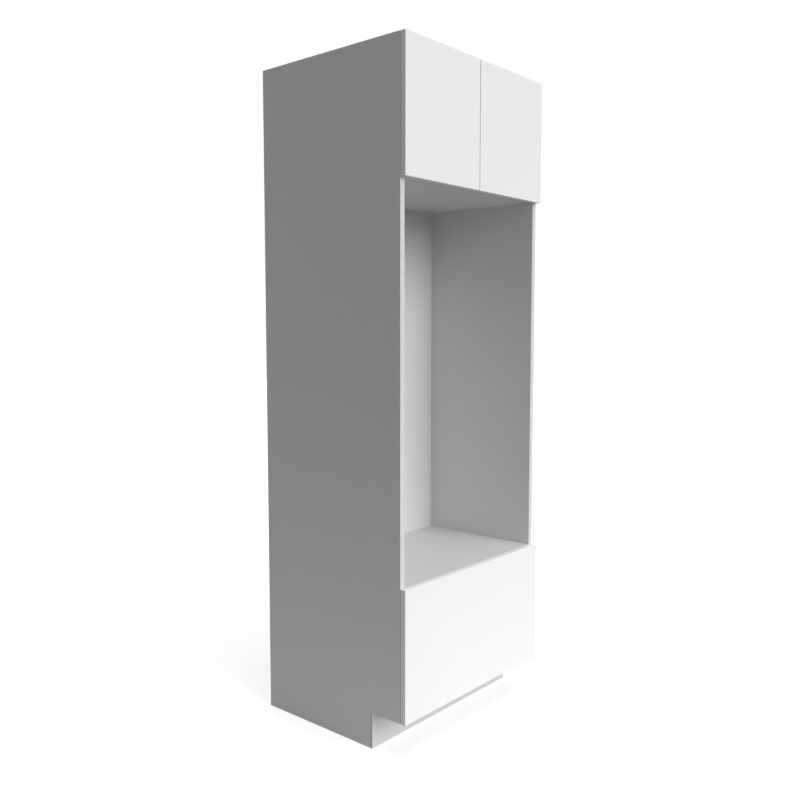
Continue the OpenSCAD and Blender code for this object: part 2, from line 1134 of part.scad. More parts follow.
// Where the screws go along a slide member
slide_screw_ys = spread(slide_screw_inset, slide_run - slide_screw_inset,
                        slide_screws_per_member);

// A channel lying along y: a web at s, with flanges reaching depth away from it
module channel(s, depth, half_h, wall, y) {
    s_web = depth > 0 ? [s, s + wall] : [s - wall, s];
    s_all = depth > 0 ? [s, s + depth] : [s + depth, s];
    block(s_web, y, [-half_h, half_h]);
    for (w = [-half_h, half_h - wall])
        block(s_all, y, [w, w + wall]);
}

// Lips that keep the outer balls in the cabinet member
module race_lips() {
    s = cabinet_member_depth;
    inside = slide_half_h - slide_wall;
    for (w = [-inside, inside - lip_depth])
        block([s - lip_depth, s], [0, slide_run], [w, w + lip_depth]);
}

module left_cabinet_member_screws() {
    at_left_slide()
        for (y = slide_screw_ys)
            mirror([1, 0, 0])
                screw_x([-slide_screw_head_rise, y, 0], screw_d, slide_screw_head_d,
                        cabinet_screw_head_len, slide_screw_len);
}

module left_drawer_member_screws() {
    at_left_slide()
        for (y = slide_screw_ys)
            screw_x([slide_t - slide_wall - slide_screw_head_rise, y, 0], screw_d,
                    slide_screw_head_d, slide_screw_head_rise, slide_screw_len);
}

module slide_cabinet_members() {
    color("silver")
        both_sides()
            difference() {
                at_left_slide() {
                    channel(0, cabinet_member_depth, slide_half_h, slide_wall,
                            [0, slide_run]);
                    race_lips();
                }
                left_cabinet_member_screws();
            }
}

module slide_middle_members() {
    color("silver")
        both_sides()
            at_left_slide()
                channel(middle_s, middle_depth, middle_half_h, slide_wall,
                        [middle_end_gap, slide_run - middle_end_gap]);
}

module slide_drawer_members() {
    color("silver")
        both_sides()
            difference() {
                at_left_slide()
                    channel(slide_t, inner_s - slide_t, inner_half_h, slide_wall,
                            [0, slide_run]);
                left_drawer_member_screws();
            }
}

// A strip folded round a member, with a row of balls in each of its flanges
module ball_cage(s, depth, ball_s, ball_w) {
    y = slide_run - cage_rear - cage_len;
    pitch = cage_len / balls_in_row;
    difference() {
        channel(s, depth, ball_w + cage_t / 2, cage_t, [y, y + cage_len]);
        for (i = [0 : balls_in_row - 1], w = [-ball_w, ball_w])
            rod_z([ball_s, y + (i + 0.5) * pitch, w - cage_t],
                  ball_d + 2 * ball_clearance, 2 * cage_t);
    }
    for (i = [0 : balls_in_row - 1], w = [-ball_w, ball_w])
        translate([ball_s, y + (i + 0.5) * pitch, w])
            sphere(d = ball_d);
}

module slide_outer_ball_cages() {
    color("silver")
        both_sides()
            at_left_slide()
                ball_cage(outer_cage_s, outer_cage_depth, outer_ball_s,
                          middle_half_h + ball_gap / 2);
}

module slide_inner_ball_cages() {
    color("silver")
        both_sides()
            at_left_slide()
                ball_cage(inner_cage_s, inner_cage_depth, inner_ball_s,
                          inner_half_h + ball_gap / 2);
}

module slide_screws() {
    color("silver")
        both_sides()
            left_cabinet_member_screws();
}

// ---- Assembly ----

left_side_panel();
right_side_panel();
top_panel();
cupboard_floor();
oven_shelf();
bottom_panel();
cupboard_back();
oven_back();
drawer_bay_back();
top_nailer();
middle_nailer();
lower_nailer();
toe_kick_rail();
rear_toe_rail();
toe_kick_board();
left_shelf_cleat();
right_shelf_cleat();
left_back_cleat();
right_back_cleat();
side_edge_bands();
shelf_edge_bands();
cam_locks();
cam_bolts();
dowels();
cleat_screws();
back_screws();
hinge_plates();
hinge_plate_screws();
hinge_arms();
hinge_arm_screws();
hinge_arm_pins();
left_door();
left_door_edge_band();
left_hinge_cups();
left_cup_screws();
left_door_bumpers();
left_outer_links();
left_inner_links();
right_door();
right_door_edge_band();
right_hinge_cups();
right_cup_screws();
right_door_bumpers();
right_outer_links();
right_inner_links();
drawer_front();
drawer_front_edge_band();
drawer_box_front();
drawer_box_back();
drawer_box_left_side();
drawer_box_right_side();
drawer_box_bottom();
drawer_screws();
drawer_bumpers();
slide_cabinet_members();
slide_middle_members();
slide_drawer_members();
slide_outer_ball_cages();
slide_inner_ball_cages();
slide_screws();
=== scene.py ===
import json
import math

import bpy
from mathutils import Matrix, Vector


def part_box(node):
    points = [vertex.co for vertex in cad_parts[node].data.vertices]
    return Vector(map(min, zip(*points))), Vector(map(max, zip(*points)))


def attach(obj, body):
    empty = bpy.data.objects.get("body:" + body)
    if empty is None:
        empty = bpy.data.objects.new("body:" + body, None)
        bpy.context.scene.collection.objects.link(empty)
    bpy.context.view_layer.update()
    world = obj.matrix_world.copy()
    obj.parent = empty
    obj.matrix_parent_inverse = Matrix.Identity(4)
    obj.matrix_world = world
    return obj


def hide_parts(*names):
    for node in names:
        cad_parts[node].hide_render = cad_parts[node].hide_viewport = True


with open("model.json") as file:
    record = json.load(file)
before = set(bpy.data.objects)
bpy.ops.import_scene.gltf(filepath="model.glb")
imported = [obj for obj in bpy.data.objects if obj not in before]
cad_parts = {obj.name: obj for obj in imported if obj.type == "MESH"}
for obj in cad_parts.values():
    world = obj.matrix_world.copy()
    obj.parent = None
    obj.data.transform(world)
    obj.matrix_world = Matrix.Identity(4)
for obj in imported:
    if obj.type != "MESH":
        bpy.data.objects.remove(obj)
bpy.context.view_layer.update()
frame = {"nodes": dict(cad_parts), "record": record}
nodes = frame["nodes"]
bodies = frame["record"]["behaviour"]["bodies"]


cameraSettings = {
    "place": (-2.249, -1.905, 1.300),  # where the photograph was taken from, in metres
    "yaw": 49.337,  # degrees from straight at the wall, towards the right
    "dip": 4.788,  # degrees below level
    "lens": 38.61,  # mm
    "sensorWidth": 36,  # mm
    "farthest": 60,  # metres that it sees
}


def addCamera(settings):
    data = bpy.data.cameras.new("camera")
    data.lens = settings["lens"]
    data.sensor_width = settings["sensorWidth"]
    data.clip_end = settings["farthest"]
    camera = bpy.data.objects.new("camera", data)
    camera.location = settings["place"]
    camera.rotation_euler = (
        math.radians(90 - settings["dip"]), 0, math.radians(-settings["yaw"]))
    bpy.context.scene.collection.objects.link(camera)
    bpy.context.scene.camera = camera


addCamera(cameraSettings)
bpy.context.scene.view_settings.view_transform = "Standard"
print("camera placed")


class Signal:
    # one output of a finish's tree; arithmetic on it adds Math nodes
    def __init__(self, finish, socket):
        self.finish = finish
        self.socket = socket

    def maths(self, operation, *values, clamp=False):
        settings = {"operation": operation, "use_clamp": clamp}
        return self.finish.add("ShaderNodeMath", settings, values)

    def __add__(self, other):
        return self.maths("ADD", self, other)

    def __mul__(self, other):
        return self.maths("MULTIPLY", self, other)

    def __rsub__(self, other):
        return self.maths("SUBTRACT", other, self)

    __radd__ = __add__
    __rmul__ = __mul__

    def above(self, level):
        return self.maths("GREATER_THAN", self, level)

    def size(self):
        return self.maths("ABSOLUTE", self)

    def either(self, other):
        return self.maths("MAXIMUM", self, other)

    def clamped(self):
        return self.maths("ADD", self, 0.0, clamp=True)


class Finish:
    # a material whose Principled shader is fed by name
    def __init__(self, name):
        self.material = bpy.data.materials.new(name)
        self.material.use_nodes = True
        self.tree = self.material.node_tree
        self.tree.nodes.clear()
        self.output = self.tree.nodes.new("ShaderNodeOutputMaterial")
        self.shader = self.tree.nodes.new("ShaderNodeBsdfPrincipled")
        self.tree.links.new(self.shader.outputs[0], self.output.inputs["Surface"])

    def feed(self, socket, value):
        if isinstance(value, Signal):
            self.tree.links.new(value.socket, socket)
        else:
            socket.default_value = value

    def add(self, nodeType, settings=None, inputs=(), output=0):
        node = self.tree.nodes.new(nodeType)
        for key, value in (settings or {}).items():
            if key == "stops":
                self.setStops(node.color_ramp, value)
            else:
                setattr(node, key, value)
        pairs = inputs.items() if isinstance(inputs, dict) else enumerate(inputs)
        for key, value in pairs:
            self.feed(node.inputs[key], value)
        return Signal(self, node.outputs[output])

    def setStops(self, ramp, stops):
        while len(ramp.elements) < len(stops):
            ramp.elements.new(0.5)
        for element, (place, colour) in zip(ramp.elements, stops):
            element.position = place
            element.color = (*colour, 1)

    def place(self, scale=(1, 1, 1)):
        coords = self.add("ShaderNodeTexCoord", output="Object")
        return self.add("ShaderNodeMapping", {}, {"Vector": coords, "Scale": scale})

    def facing(self, axis):
        # how squarely the surface faces along the piece's own axis, from -1 to 1
        normal = self.add("ShaderNodeTexCoord", output="Normal")
        return self.add("ShaderNodeSeparateXYZ", {}, [normal], output=axis)

    def noise(self, scale, detail=2.0, roughness=0.5, stretch=(1, 1, 1)):
        inputs = {
            "Vector": self.place(stretch), "Scale": scale,
            "Detail": detail, "Roughness": roughness,
        }
        return self.add("ShaderNodeTexNoise", {}, inputs, output="Fac")

    def ramp(self, amount, stops):
        return self.add("ShaderNodeValToRGB", {"stops": stops}, [amount], output="Color")

    def mix(self, amount, first, second):
        # the node's sockets for colours: 0 is the amount, 6 and 7 are the two colours
        inputs = {0: amount, 6: asColour(first), 7: asColour(second)}
        return self.add("ShaderNodeMix", {"data_type": "RGBA"}, inputs, output=2)

    def bump(self, height, strength, distance, **others):
        inputs = {"Height": height, "Strength": strength, "Distance": distance, **others}
        return self.add("ShaderNodeBump", {}, inputs)

    def shade(self, baseColor, **inputs):
        self.feed(self.shader.inputs["Base Color"], baseColor)
        for key, value in inputs.items():
            self.feed(self.shader.inputs[key.capitalize()], value)
        return self.material


def asColour(value):
    return value if isinstance(value, Signal) else (*value, 1)


def darker(colour, share):
    return tuple(channel * share for channel in colour)


def blended(first, second, share):
    return first * (1 - share) + second * share


def stretchAlong(axis, along, across=1.0):
    return tuple(along if name == axis else across for name in "XYZ")


boardSettings = {
    "front": (0.87, 0.87, 0.865),  # faces of the doors and the drawer front
    "carcass": (0.667, 0.667, 0.667),  # faces of the carcass boards
    "box": (0.74, 0.74, 0.735),  # drawer box
    "edging": (0.68, 0.68, 0.68),  # glued strips on the carcass's front edges
    "cloudScale": 2.6,  # darker, cloudy patches, per metre
    "cloudShade": 0.975,  # how dark they are
    "roughness": 0.35,
    "smudgeScale": 7.0,
    "smudgeDull": 0.14,  # roughness that smudges add
    "pearlScale": 620,  # the faint orange-peel of pressed melamine
    "pearlDepth": 0.00002,
    "pearlStrength": 0.35,
}

coreSettings = {  # the particleboard that shows where a board is sawn
    "pale": (0.76, 0.63, 0.47),
    "mid": (0.63, 0.49, 0.34),
    "dark": (0.44, 0.32, 0.2),
    "stops": (0.12, 0.42, 0.8),  # tones at which the dark, mid and pale chips stand
    "chipScale": 950,  # chips across the board's thickness, per metre
    "chipLength": 3.2,  # how much longer a chip is than it is thick
    "ragged": 0.0012,  # how far the chips' outlines stray, in metres
    "raggedScale": 1500,
    "dustScale": 2400,
    "dustTone": 0.3,  # how much of the colour comes from fine dust
    "dustHeight": 0.4,  # and how much of the relief
    "depth": 0.0002,
    "strength": 0.6,
    "dull": 0.4,  # roughness that the core adds
    "facing": 0.7,  # a face that looks less squarely than this along an axis is off it
}


def melamineFinish(name, white, thinAxis=None, whiteTop=False):
    # faced board; where it is sawn through its thickness, its core shows
    settings = boardSettings
    finish = Finish(name)
    cloud = finish.noise(settings["cloudScale"], detail=3)
    smudge = finish.noise(settings["smudgeScale"], detail=4, roughness=0.6)
    pearl = finish.noise(settings["pearlScale"])
    colour = finish.mix(cloud, white, darker(white, settings["cloudShade"]))
    roughness = smudge * settings["smudgeDull"] + settings["roughness"]
    normal = finish.bump(pearl, settings["pearlStrength"], settings["pearlDepth"])
    if thinAxis:
        settings = coreSettings
        sawn = 1 - finish.facing(thinAxis).size().above(settings["facing"])
        if whiteTop:
            sawn = sawn * (1 - finish.facing("Z").above(settings["facing"]))
        core, height = coreLook(finish, thinAxis)
        colour = finish.mix(sawn, colour, core)
        roughness = roughness + sawn * settings["dull"]
        normal = finish.bump(
            height * sawn, settings["strength"], settings["depth"], Normal=normal)
    return finish.shade(baseColor=colour, roughness=roughness, normal=normal)


def coreLook(finish, thinAxis):
    # colour and relief of chips that lie flat in the board
    settings = coreSettings
    place = finish.place(stretchAlong(thinAxis, 1.0, across=1 / settings["chipLength"]))
    stray = finish.add(
        "ShaderNodeTexNoise", {}, {"Vector": place, "Scale": settings["raggedScale"]},
        output="Color")
    reach = (settings["ragged"],) * 3
    place = finish.add(
        "ShaderNodeVectorMath", {"operation": "MULTIPLY_ADD"}, [stray, reach, place])
    chips = finish.add(
        "ShaderNodeTexVoronoi", {}, {"Vector": place, "Scale": settings["chipScale"]},
        output="Color")
    tone = finish.add("ShaderNodeSeparateXYZ", {}, [chips], output="X")
    dust = finish.noise(settings["dustScale"], detail=3, roughness=0.7)
    colours = [settings[shade] for shade in ("dark", "mid", "pale")]
    stops = list(zip(settings["stops"], colours))
    colour = finish.ramp(blended(tone, dust, settings["dustTone"]), stops)
    return colour, blended(tone, dust, settings["dustHeight"])


timberSettings = {
    "softwood": {"pale": (0.66, 0.49, 0.3), "dark": (0.5, 0.33, 0.17), "rings": 160},
    "beech": {"pale": (0.58, 0.4, 0.24), "dark": (0.46, 0.29, 0.16), "rings": 300},
    "stretch": 0.04,  # the figure's scale along the grain, against across it
    "stops": (0.34, 0.5, 0.66),  # where the dark, middle and pale wood stand in the figure
    "ringShare": 0.7,
    "wanderScale": 14,  # slow drift of the colour
    "wanderShare": 0.4,
    "fibreScale": 900,
    "fibreHeight": 0.5,  # against the rings' relief
    "fibreDull": 0.2,  # roughness that the fibres add
    "roughness": 0.6,
    "depth": 0.00015,
    "strength": 0.4,
}


def timberFinish(name, kind, grainAxis):
    # plain sawn timber with its grain along one axis
    settings = timberSettings
    wood = settings[kind]
    finish = Finish(name)
    stretch = stretchAlong(grainAxis, settings["stretch"])
    wander = finish.noise(settings["wanderScale"], 3, 0.6, stretch)
    rings = finish.noise(wood["rings"], 4, 0.65, stretch)
    fibre = finish.noise(settings["fibreScale"], stretch=stretch)
    figure = (rings * settings["ringShare"] + wander * settings["wanderShare"]).clamped()
    mid = tuple((a + b) / 2 for a, b in zip(wood["pale"], wood["dark"]))
    colours = [wood["dark"], mid, wood["pale"]]
    colour = finish.ramp(figure, list(zip(settings["stops"], colours)))
    roughness = fibre * settings["fibreDull"] + settings["roughness"]
    height = rings + fibre * settings["fibreHeight"]
    normal = finish.bump(height, settings["strength"], settings["depth"])
    return finish.shade(baseColor=colour, roughness=roughness, normal=normal)


metalSettings = {
    "brushScale": 1800,
    "brushStretch": 0.003,  # the brush marks' scale along them, against across them
    "brushTone": 0.15,  # how much of the tone comes from the brush marks
    "brushDull": 0.04,  # how much they change the roughness
    "bloomScale": 45,  # broad dull patches
    "bloomDull": 0.05,
    "shade": 0.92,  # how dark the dull patches are
    "depth": 0.000003,
    "strength": 0.05,
}


def metalFinish(name, colour, roughness, brushAxis=None):
    settings = metalSettings
    finish = Finish(name)
    stretch = stretchAlong(brushAxis, settings["brushStretch"])
    brush = finish.noise(settings["brushScale"], 3, 0.6, stretch)
    bloom = finish.noise(settings["bloomScale"])
    amount = blended(bloom, brush, settings["brushTone"]).clamped()
    tone = finish.mix(amount, colour, darker(colour, settings["shade"]))
    swing = brush * settings["brushDull"] + bloom * settings["bloomDull"]
    least = roughness - (settings["brushDull"] + settings["bloomDull"]) / 2
    normal = finish.bump(brush, settings["strength"], settings["depth"])
    return finish.shade(baseColor=tone, metallic=1.0, roughness=swing + least, normal=normal)


softSettings = {  # bumpers and moulded levers
    "mottleScale": 300, "shade": 0.9, "roughness": 0.45, "mottleDull": 0.1,
    "depth": 0.00003, "strength": 0.2,
}


def softFinish(name, colour):
    settings = softSettings
    finish = Finish(name)
    mottle = finish.noise(settings["mottleScale"], detail=3)
    tone = finish.mix(mottle, colour, darker(colour, settings["shade"]))
    roughness = mottle * settings["mottleDull"] + settings["roughness"]
    normal = finish.bump(mottle, settings["strength"], settings["depth"])
    return finish.shade(baseColor=tone, roughness=roughness, normal=normal)


nickelFinish = metalFinish("nickelPlatedSteel", (0.72, 0.71, 0.68), 0.28)
leverFinish = softFinish("blackLever", (0.035, 0.035, 0.037))
plainFinish = {  # of each kind of node below
    "front": melamineFinish("whiteFrontBoard", boardSettings["front"], "Y"),
    "frontBand": melamineFinish("whiteFrontEdging", boardSettings["front"]),
    "carcassBand": melamineFinish("whiteEdging", boardSettings["edging"]),
    "shelfCleat": timberFinish("softwoodAlongCabinet", "softwood", "Y"),
    "backCleat": timberFinish("softwoodUpright", "softwood", "Z"),
    "dowel": timberFinish("beechDowel", "beech", "X"),
    "nickel": nickelFinish,
    "pin": metalFinish("darkSteelPin", (0.4, 0.4, 0.4), 0.35),
    "zinc": metalFinish("zincPlatedSlide", (0.62, 0.64, 0.66), 0.34, "Y"),
    "diecast": metalFinish("zincDiecasting", (0.5, 0.5, 0.51), 0.45),
    "screw": metalFinish("yellowPassivatedScrew", (0.7, 0.56, 0.28), 0.35),
    "bumper": softFinish("clearBumper", (0.72, 0.72, 0.7)),
}
boardFinish = {  # of each kind of board, by the axis along which it is thin
    "carcass": {
        axis: melamineFinish("whiteCarcassBoard" + axis, boardSettings["carcass"], axis)
        for axis in "XYZ"},
    "box": {
        axis: melamineFinish("whiteBoxBoard" + axis, boardSettings["box"], axis, whiteTop=True)
        for axis in "XYZ"},
}
print("finishes made:", len(bpy.data.materials))

nodesOf = {
    "carcass": [
        "left_side_panel", "right_side_panel", "top_panel", "cupboard_floor", "oven_shelf",
        "bottom_panel", "cupboard_back", "oven_back", "drawer_bay_back", "top_nailer",
        "middle_nailer", "lower_nailer", "toe_kick_rail", "rear_toe_rail", "toe_kick_board"],
    "box": [
        "drawer_box_front", "drawer_box_back", "drawer_box_left_side",
        "drawer_box_right_side", "drawer_box_bottom"],
    "front": ["left_door", "right_door", "drawer_front"],
    "frontBand": ["left_door_edge_band", "right_door_edge_band", "drawer_front_edge_band"],
    "carcassBand": ["side_edge_bands", "shelf_edge_bands"],
    "shelfCleat": ["left_shelf_cleat", "right_shelf_cleat"],
    "backCleat": ["left_back_cleat", "right_back_cleat"],
    "dowel": ["dowels"],
    "nickel": [
        "hinge_plates", "hinge_plate_screws", "hinge_arms", "hinge_arm_screws",
        "left_hinge_cups", "left_cup_screws", "left_outer_links", "left_inner_links",
        "right_hinge_cups", "right_cup_screws", "right_outer_links", "right_inner_links",
        "slide_screws"],
    "pin": ["hinge_arm_pins"],
    "zinc": [
        "cam_bolts", "slide_cabinet_members", "slide_middle_members", "slide_drawer_members",
        "slide_outer_ball_cages", "slide_inner_ball_cages"],
    "diecast": ["cam_locks"],
    "screw": ["cleat_screws", "back_screws", "drawer_screws"],
    "bumper": ["left_door_bumpers", "right_door_bumpers", "drawer_bumpers"],
}


def thinAxisOf(node):
    low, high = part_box(node)
    spans = [b - a for a, b in zip(low, high)]
    return "XYZ"[spans.index(min(spans))]


def finishOf(kind, node):
    return boardFinish[kind][thinAxisOf(node)] if kind in boardFinish else plainFinish[kind]


def dress(piece, finish):
    piece.data.materials.clear()
    piece.data.materials.append(finish)


for kind, kindNodes in nodesOf.items():
    for node in kindNodes:
        dress(nodes[node], finishOf(kind, node))
print("nodes dressed:", sum(map(len, nodesOf.values())), "of", len(nodes))


meshSettings = {
    "near": 0.00001,  # metres within which two places are one
    "facing": 0.9,  # how squarely a face looks along an axis to be picked by it
    "flatTurn": 1,  # degrees under which merged triangles become one face
    "digits": 5,  # decimals of a metre that tell a node's corners apart
    "sizeDigits": 4,  # decimals of a metre that tell sizes of screws apart
    "copyTurn": 37,  # degrees from one copy's cross recess to the next one's
    "quarter": 90,  # degrees after which a cross looks the same
}


def near(a, b):
    return abs(a - b) < meshSettings["near"]


def faces(normal, axis, side=1):
    return normal["xyz".index(axis)] * side > meshSettings["facing"]


def activate(piece):
    bpy.ops.object.select_all(action="DESELECT")
    piece.select_set(True)
    bpy.context.view_layer.objects.active = piece


def openPicked(piece, kind, wanted):
    # opens the piece in edit mode with nothing picked but what the test takes
    activate(piece)
    mesh = piece.data
    parts = {"corner": mesh.vertices, "edge": mesh.edges, "face": mesh.polygons}
    bpy.context.tool_settings.mesh_select_mode = [name == kind for name in parts]
    for items in parts.values():
        items.foreach_set("select", [False] * len(items))
    for item in parts[kind]:
        item.select = bool(wanted(item))
    bpy.ops.object.mode_set(mode="EDIT")


def pickCorners(piece, wanted):
    openPicked(piece, "corner", lambda corner: wanted(corner.co))


def pickEdges(piece, wanted):
    # the test is given both ends of an edge
    corners = piece.data.vertices
    openPicked(piece, "edge", lambda edge: wanted(*(corners[i].co for i in edge.vertices)))


def pickFaces(piece, wanted):
    # the test is given the centre and the normal of a face
    openPicked(piece, "face", lambda face: wanted(face.center, face.normal))


def pickAll(piece):
    openPicked(piece, "face", lambda face: True)


def closeEdit():
    bpy.ops.object.mode_set(mode="OBJECT")


def extrudePicked(way, shrink=1.0):
    bpy.ops.mesh.extrude_region_move(TRANSFORM_OT_translate={"value": way})
    if shrink != 1.0:
        bpy.ops.transform.resize(value=(shrink, shrink, 1.0))


def bevelPicked(width, steps):
    bpy.ops.mesh.bevel(offset=width, offset_type="OFFSET", segments=steps, affect="EDGES")


def smoothByAngle(piece, degrees):
    # shades the rounded parts smooth and keeps the wide flat faces flat
    activate(piece)
    bpy.ops.object.shade_smooth_by_angle(angle=math.radians(degrees))
    piece.modifiers.new("keepFlat", "WEIGHTED_NORMAL").keep_sharp = True
    bpy.ops.object.modifier_apply(modifier="keepFlat")


def cutAway(piece, cutter):
    activate(piece)
    cut = piece.modifiers.new("cut", "BOOLEAN")
    cut.operation = "DIFFERENCE"
    cut.object = cutter
    bpy.ops.object.modifier_apply(modifier="cut")
    bpy.data.objects.remove(cutter)


def applyPlace(piece):
    activate(piece)
    bpy.ops.object.transform_apply(location=True, rotation=True, scale=True)


def addCylinder(sides, radius, depth, place, turn=(0, 0, 0)):
    bpy.ops.object.select_all(action="DESELECT")
    bpy.ops.mesh.primitive_cylinder_add(
        vertices=sides, radius=radius, depth=depth, location=place, rotation=turn)
    piece = bpy.context.object
    applyPlace(piece)
    return piece


def addBlock(spans, place=(0, 0, 0), turn=(0, 0, 0)):
    bpy.ops.object.select_all(action="DESELECT")
    bpy.ops.mesh.primitive_cube_add(size=1, location=place, rotation=turn, scale=spans)
    piece = bpy.context.object
    applyPlace(piece)
    return piece


def joinAll(copies, name):
    activate(copies[0])
    for piece in copies:
        piece.select_set(True)
    bpy.ops.object.join()
    copies[0].name = name
    return copies[0]


def setCopies(model, name, places):
    # copies a piece that faces +Z to each centre and way, joins them and drops the model
    settings = meshSettings
    copies = []
    for count, (centre, way) in enumerate(places):
        piece = bpy.data.objects.new(name, model.data.copy())
        degrees = settings["copyTurn"] * count % settings["quarter"]
        turn = Matrix.Rotation(math.radians(degrees), 4, "Z")
        lay = way.to_track_quat("Z", "Y").to_matrix().to_4x4()
        piece.data.transform(Matrix.Translation(centre) @ lay @ turn)
        bpy.context.scene.collection.objects.link(piece)
        copies.append(piece)
    bpy.data.objects.remove(model)
    return joinAll(copies, name)


def copyOfNode(node):
    # a copy of a node whose loose triangles are merged into whole faces
    piece = bpy.data.objects.new(nameOf(node), nodes[node].data.copy())
    bpy.context.scene.collection.objects.link(piece)
    pickAll(piece)
    bpy.ops.mesh.remove_doubles(threshold=meshSettings["near"])
    bpy.ops.mesh.dissolve_limited(angle_limit=math.radians(meshSettings["flatTurn"]))
    closeEdit()
    bpy.ops.mesh.customdata_custom_splitnormals_clear()
    return piece


def nameOf(node):
    first, *rest = node.split("_")
    return first + "".join(word.title() for word in rest)


def bodyOf(node):
    return next(body for body, held in bodies.items() if node in held)


def standFor(node, piece):
    # gives a finished piece the finish and body of the node that it stands for, and hides the
    # node
    kind = next(kind for kind, kindNodes in nodesOf.items() if node in kindNodes)
    dress(piece, finishOf(kind, node))
    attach(piece, bodyOf(node))
    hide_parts(node)


def solidsOf(node):
    # a node's separate solids, each as the list of its corners
    mesh = nodes[node].data
    digits = meshSettings["digits"]
    corners = [tuple(round(c, digits) for c in corner.co) for corner in mesh.vertices]
    leader = {corner: corner for corner in corners}

    def leadOf(corner):
        while leader[corner] != corner:
            leader[corner] = leader[leader[corner]]
            corner = leader[corner]
        return corner

    for face in mesh.polygons:
        first, *others = [leadOf(corners[i]) for i in face.vertices]
        for other in others:
            leader[leadOf(other)] = leadOf(first)
    solids = {}
    for corner in leader:
        solids.setdefault(leadOf(corner), []).append(Vector(corner))
    return list(solids.values())


def turnedSolids(node):
    # each turned solid of a node: its wide end's centre, the way that end faces, and its
    # head's radius and depth, its shank's radius and its whole length
    digits, sizeDigits = meshSettings["digits"], meshSettings["sizeDigits"]
    found = []
    for solid in solidsOf(node):
        low = Vector([min(corner[i] for corner in solid) for i in range(3)])
        high = Vector([max(corner[i] for corner in solid) for i in range(3)])
        axis = longAxis(high - low)
        middle = (low + high) / 2
        levels = {}
        for corner in solid:
            flat = [corner[i] - middle[i] for i in range(3) if i != axis]
            levels.setdefault(round(corner[axis], digits), []).append(math.hypot(*flat))
        reach = [(level, round(max(levels[level]), digits)) for level in sorted(levels)]
        facing = 1 if reach[-1][1] >= reach[0][1] else -1
        if facing < 0:
            reach.reverse()
        tip, shoulder, head = reach[0], reach[-2], reach[-1]
        middle[axis] = head[0]
        way = Vector([facing if i == axis else 0 for i in range(3)])
        sizes = (head[1], abs(head[0] - shoulder[0]), tip[1], abs(head[0] - tip[0]))
        found.append((middle, way, tuple(round(size, sizeDigits) for size in sizes)))
    return found


def longAxis(spans):
    # the axis along which a turned solid lies: the one whose span differs from the others
    gaps = [abs(spans[(i + 1) % 3] - spans[(i + 2) % 3]) for i in range(3)]
    return gaps.index(min(gaps))


screwSettings = {
    "sides": 28,
    "countersunkFrom": 0.0022,  # heads deeper than this are countersunk, others are pan heads
    "rimShare": 0.25,  # how much of a countersunk head's depth is its straight rim
    "rimBevel": 0.00015,
    "rimSteps": 2,
    "panBevel": 0.45,  # of a pan head's depth
    "panSteps": 3,
    "rimFrom": 0.9,  # of the head's radius: edges further out belong to the rim
    "tip": 2.2,  # length of the point, in shank radii
    "tipWidth": 0.15,  # of the shank
    "recessReach": 0.56,  # of the head's radius
    "recessWidth": 0.24,  # of the head's radius
    "recessDepth": 0.0017,
    "recessTaper": 0.35,
    "smoothTurn": 35,
}


def modelScrew(headRadius, headDepth, shankRadius, length):
    # lies along -Z with its head's face at z = 0
    settings = screwSettings
    countersunk = headDepth > settings["countersunkFrom"]
    rim = headDepth * settings["rimShare"] if countersunk else headDepth
    screw = addCylinder(settings["sides"], headRadius, rim, (0, 0, -rim / 2))
    pickFaces(screw, lambda centre, normal: faces(normal, "z", -1))
    if countersunk:
        extrudePicked((0, 0, rim - headDepth), shankRadius / headRadius)
    else:
        bpy.ops.mesh.inset(thickness=headRadius - shankRadius)
    tip = shankRadius * settings["tip"]
    extrudePicked((0, 0, headDepth + tip - length))
    extrudePicked((0, 0, -tip), settings["tipWidth"])
    closeEdit()
    rimFrom = headRadius * settings["rimFrom"]
    pickEdges(screw, lambda a, b: near(a.z, 0) and near(b.z, 0) and a.xy.length > rimFrom)
    if countersunk:
        bevelPicked(settings["rimBevel"], settings["rimSteps"])
    else:
        bevelPicked(headDepth * settings["panBevel"], settings["panSteps"])
    closeEdit()
    cutAway(screw, recessCutter(headRadius, 0))
    cutAway(screw, recessCutter(headRadius, meshSettings["quarter"]))
    smoothByAngle(screw, settings["smoothTurn"])
    return screw


def recessCutter(headRadius, turn):
    # one slot of the cross recess, narrowing downwards
    settings = screwSettings
    spans = (headRadius * settings["recessReach"] * 2, headRadius * settings["recessWidth"],
             settings["recessDepth"] * 2)
    cutter = addBlock(spans, turn=(0, 0, math.radians(turn)))
    pickFaces(cutter, lambda centre, normal: faces(normal, "z", -1))
    taper = settings["recessTaper"]
    bpy.ops.transform.resize(value=(taper, 1, 1) if turn == 0 else (1, taper, 1))
    closeEdit()
    return cutter


def replaceScrews(node):
    groups = {}
    for centre, way, sizes in turnedSolids(node):
        groups.setdefault(sizes, []).append((centre, way))
    sets = [setCopies(modelScrew(*sizes), nameOf(node), places)
            for sizes, places in sorted(groups.items(), key=lambda group: group[0])]
    standFor(node, joinAll(sets, nameOf(node)))


for node in ("cleat_screws", "back_screws", "drawer_screws", "slide_screws",
             "hinge_plate_screws", "hinge_arm_screws", "left_cup_screws", "right_cup_screws"):
    replaceScrews(node)
print("screws modelled")


sideScrewSettings = {  # the second screw of each hinge arm, which shifts the door sideways
    "headRadius": 0.003, "headDepth": 0.0012, "shankRadius": 0.002, "length": 0.006,
    "ahead": 0.026,  # how far in front of the clamping screw it stands
}


